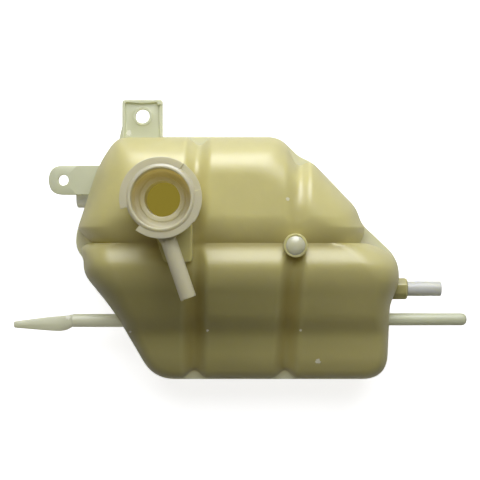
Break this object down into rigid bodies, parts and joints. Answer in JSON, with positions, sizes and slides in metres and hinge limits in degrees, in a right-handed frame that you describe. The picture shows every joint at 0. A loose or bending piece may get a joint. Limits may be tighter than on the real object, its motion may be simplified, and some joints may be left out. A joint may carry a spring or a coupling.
{
  "type": "coolant expansion tank",
  "caption": "Blow-moulded plastic coolant expansion tank with lobed front, bayonet filler neck, overflow nipple, hose nipple, plug and two fixing tabs.",
  "frame": {"origin": "where the filler axis meets the flat underside", "axes": "+Z along the filler axis, out of its mouth; +X along the tank towards its hose nipple"},
  "size_m": [0.3497, 0.2151, 0.138],
  "materials": {
    "blown_shell": "satin translucent cream plastic, yellowing in the grooves",
    "moulded_neck": "satin translucent greyish white plastic",
    "moulded_insert": "satin translucent white plastic",
    "moulded_plug": "smooth white plastic",
    "moulded_port": "translucent bluish grey plastic"
  },
  "bodies": {
    "root": {"tank_shell": "blown_shell", "filler_neck": "moulded_neck", "side_nipple": "moulded_insert", "round_plug": "moulded_plug", "lower_port": "moulded_port"}
  },
  "joints": []
}
